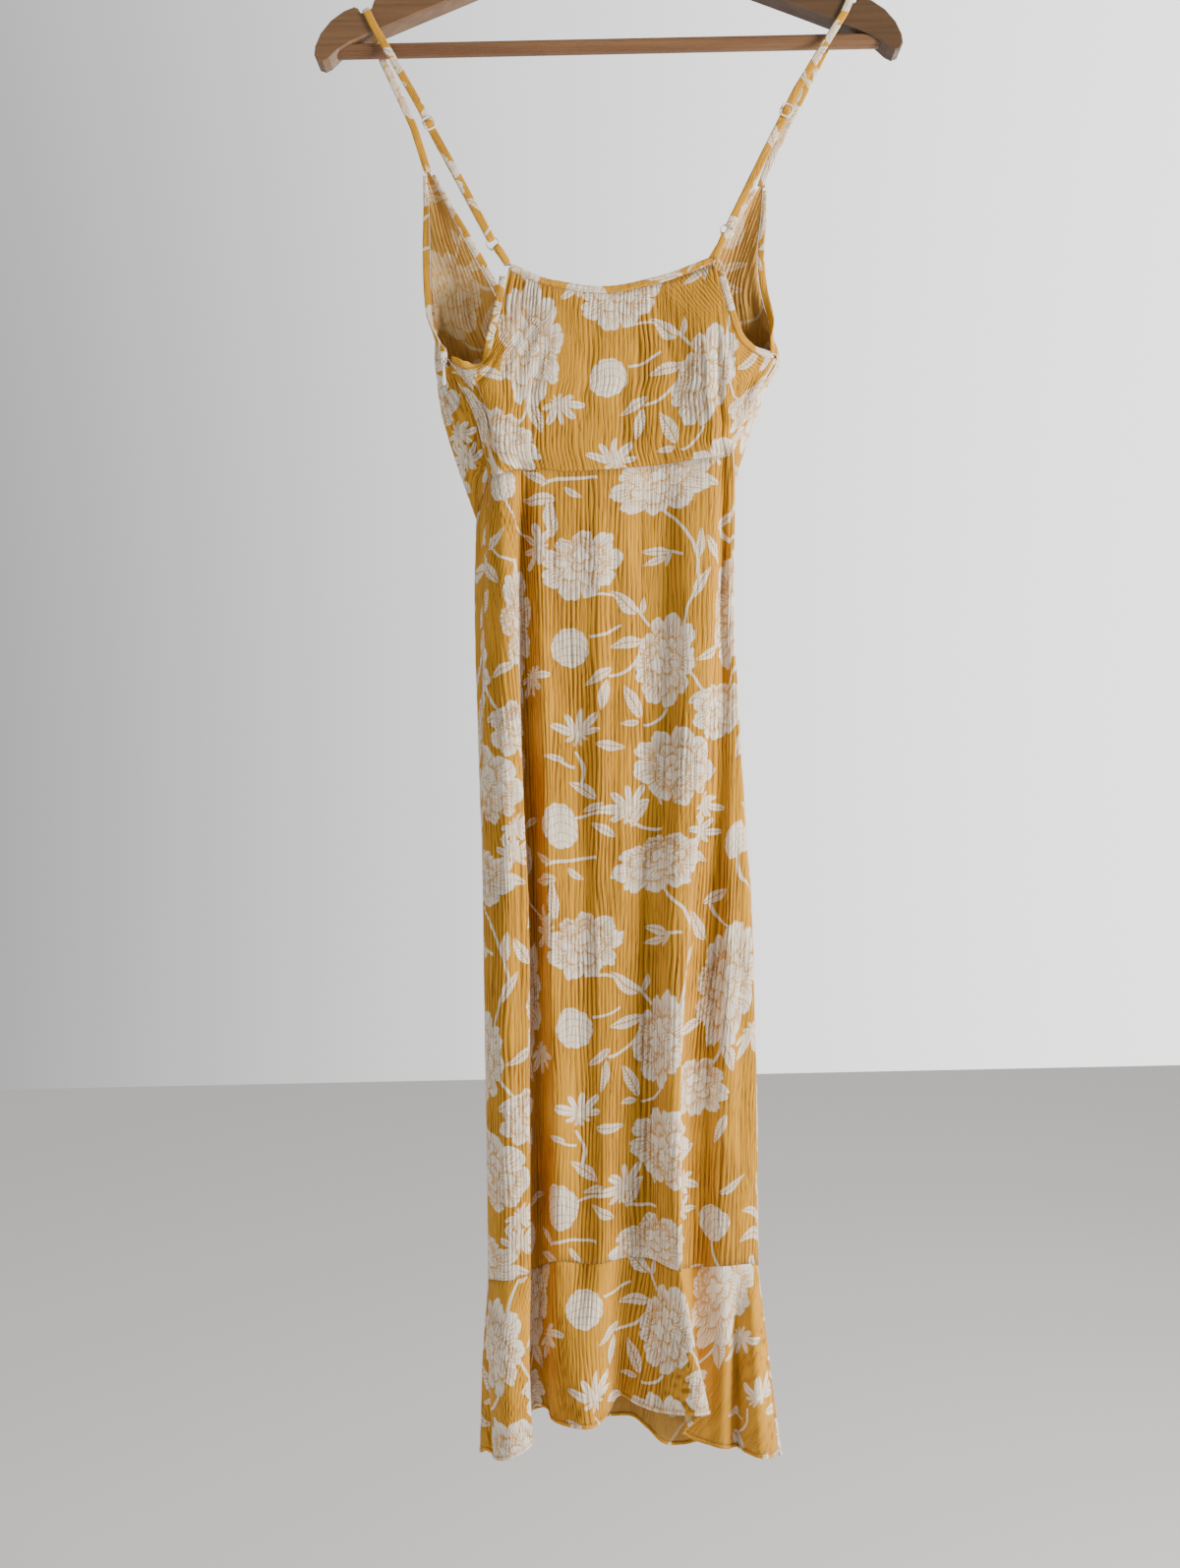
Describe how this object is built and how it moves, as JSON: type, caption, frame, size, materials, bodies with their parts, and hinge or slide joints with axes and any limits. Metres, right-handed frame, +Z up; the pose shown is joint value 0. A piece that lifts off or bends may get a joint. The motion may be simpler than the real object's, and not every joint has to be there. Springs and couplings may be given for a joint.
{
  "type": "sundress on a wooden hanger",
  "caption": "Strappy midi sundress in floral crinkle cloth, with a crossed front, side zip and hem flounce, hung by its straps on a wooden hanger.",
  "frame": {"origin": "the inside of the hanger hook's top, where it rests on a rail", "axes": "+Z up, -Y out of the dress's back, +X to the right of someone who looks at that back"},
  "size_m": [0.4504, 0.0654, 1.2682],
  "materials": {
    "printed_crinkle": "crinkled mustard viscose with off-white flowers",
    "cream_enamel": "cream enamel, satin",
    "zip_coil": "woven tape with a fine coil",
    "pale_wood": "satin varnish",
    "bar_wood": "satin varnish, fine ribs",
    "hook_steel": "plated wire"
  },
  "bodies": {
    "root": {"armhole_binding_back_left": "printed_crinkle", "armhole_binding_back_right": "printed_crinkle", "armhole_binding_front_left": "printed_crinkle", "armhole_binding_front_right": "printed_crinkle", "bodice_back": "printed_crinkle", "bodice_front_left": "printed_crinkle", "bodice_front_right": "printed_crinkle", "flounce_back": "printed_crinkle", "flounce_front": "printed_crinkle", "hanger_arms": "pale_wood", "hanger_bar": "bar_wood", "hanger_hook": "hook_steel", "neck_binding_back": "printed_crinkle", "neck_binding_front_left": "printed_crinkle", "neck_binding_front_right": "printed_crinkle", "ring_left": "cream_enamel", "ring_right": "cream_enamel", "skirt_back": "printed_crinkle", "skirt_front": "printed_crinkle", "slider_left": "cream_enamel", "slider_right": "cream_enamel", "strap_left": "printed_crinkle", "strap_right": "printed_crinkle", "strap_tab_left": "printed_crinkle", "strap_tab_right": "printed_crinkle", "zip_slider": "cream_enamel", "zip_tape": "zip_coil"},
    "zip_pull": {"zip_pull": "cream_enamel"}
  },
  "joints": [
    {"name": "zip_pull_swing", "type": "hinge", "parent": "root", "child": "zip_pull", "pos_m": [-0.1304, -0.0122, -0.4213], "axis": [-1, 0, 0], "range_deg": [0, 140]}
  ]
}
